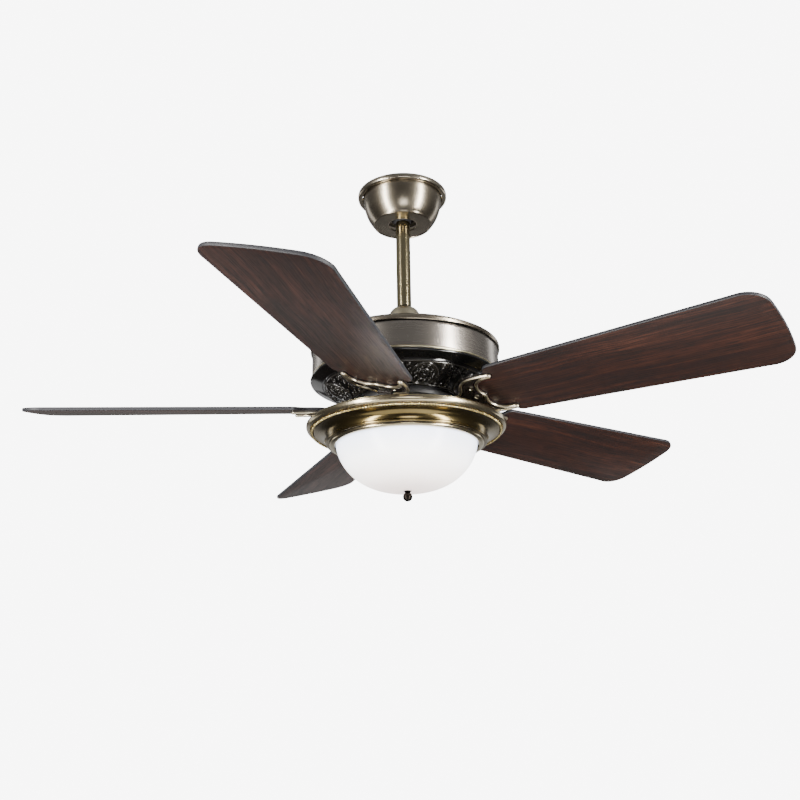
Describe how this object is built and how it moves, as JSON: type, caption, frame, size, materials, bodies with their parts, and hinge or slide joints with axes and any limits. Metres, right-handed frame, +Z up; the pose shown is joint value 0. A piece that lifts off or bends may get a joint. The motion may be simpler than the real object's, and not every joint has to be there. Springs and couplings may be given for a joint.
{
  "type": "ceiling fan with light",
  "caption": "Ceiling fan on a short downrod: pitched wooden blades on curled blade irons, a round motor housing and a light kit with an opal glass bowl.",
  "frame": {"origin": "on the fan's axis, in the ceiling plane, at the centre of the two ceiling screws", "axes": "+Z up along the fan's axis, so the fan hangs below the origin; +X along the line of the two ceiling screws"},
  "size_m": [1.2426, 1.2858, 0.6014],
  "materials": {
    "zinc_steel": "satin",
    "brushed_bronze": "brushed satin, clear lacquer",
    "antique_brass": "antiqued satin",
    "pale_brass": "polished, lightly antiqued",
    "pan_brass": "dark antique brass, polished",
    "gilt_brass": "polished",
    "dark_bronze": "gloss",
    "black_enamel": "gloss",
    "iron_bronze": "antiqued, rims rubbed bright",
    "walnut": "satin lacquer",
    "opal_glass": "opal white, satin",
    "white_plastic": "matte",
    "black_plastic": "matte",
    "white_enamel": "gloss",
    "felt_rubber": "matte",
    "lamp_cap_metal": "satin",
    "bulb_glass": "frosted",
    "wire_insulation": "matte",
    "cast_iron": "as cast",
    "black_steel": "blackened",
    "laminated_steel": "laminated",
    "copper_wire": "enamelled",
    "rotor_aluminium": "cast",
    "bearing_steel": "polished",
    "flywheel_black": "painted"
  },
  "bodies": {
    "ceiling": {"hanger_bracket": "zinc_steel", "canopy": "brushed_bronze", "canopy_ring": "brushed_bronze", "canopy_screws": "antique_brass", "receiver_box": "white_plastic"},
    "hanger": {"hanger_ball": "black_plastic", "ball_pin": "zinc_steel", "downrod": "antique_brass", "rod_collar": "dark_bronze", "coupling_cover": "pale_brass", "motor_coupler": "cast_iron", "clevis_pin": "zinc_steel", "cotter_pin": "zinc_steel", "coupler_screws": "black_steel", "lead_wires": "wire_insulation", "motor_shaft": "zinc_steel", "stator_core": "laminated_steel", "stator_windings": "copper_wire", "housing_dome": "brushed_bronze", "dome_screws": "antique_brass", "housing_band": "brushed_bronze", "band_bead": "pale_brass", "lower_housing": "black_enamel", "housing_medallions": "black_enamel", "light_fitter": "zinc_steel", "shaft_nut": "zinc_steel", "pan_cover": "pan_brass", "light_pan": "pan_brass", "rope_ring": "gilt_brass", "bowl_collar": "pan_brass", "reflector_plate": "white_enamel", "bowl_gasket": "felt_rubber", "capacitor": "black_plastic", "pan_screws": "antique_brass", "lamp_holders": "white_plastic", "bulb_caps": "lamp_cap_metal", "bulbs": "bulb_glass", "light_rod": "zinc_steel", "light_rod_nuts": "zinc_steel"},
    "rotor": {"rotor_top": "rotor_aluminium", "rotor_bottom": "rotor_aluminium", "rotor_cage": "laminated_steel", "upper_bearing": "bearing_steel", "lower_bearing": "bearing_steel", "flywheel": "flywheel_black", "iron_screws": "antique_brass", "blade_screws": "pale_brass", "blade_iron_1": "iron_bronze", "blade_iron_2": "iron_bronze", "blade_iron_3": "iron_bronze", "blade_iron_4": "iron_bronze", "blade_iron_5": "iron_bronze", "blade_1": "walnut", "blade_2": "walnut", "blade_3": "walnut", "blade_4": "walnut", "blade_5": "walnut"},
    "bowl": {"glass_bowl": "opal_glass", "bowl_washer": "dark_bronze"},
    "finial": {"finial": "dark_bronze"}
  },
  "joints": [
    {"name": "ball_swing", "type": "hinge", "parent": "ceiling", "child": "hanger", "pos_m": [0, 0, -0.039], "axis": [0, 1, 0], "range_deg": [-15, 15]},
    {"name": "rotor_spin", "type": "hinge", "parent": "hanger", "child": "rotor", "pos_m": [0, 0, -0.434], "axis": [0, 0, 1], "continuous": true},
    {"name": "bowl_drop", "type": "slide", "parent": "hanger", "child": "bowl", "axis": [0, 0, -1], "range_m": [0, 0.12]},
    {"name": "finial_turn", "type": "hinge", "parent": "bowl", "child": "finial", "pos_m": [0, 0, -0.59], "axis": [0, 0, 1], "continuous": true}
  ]
}
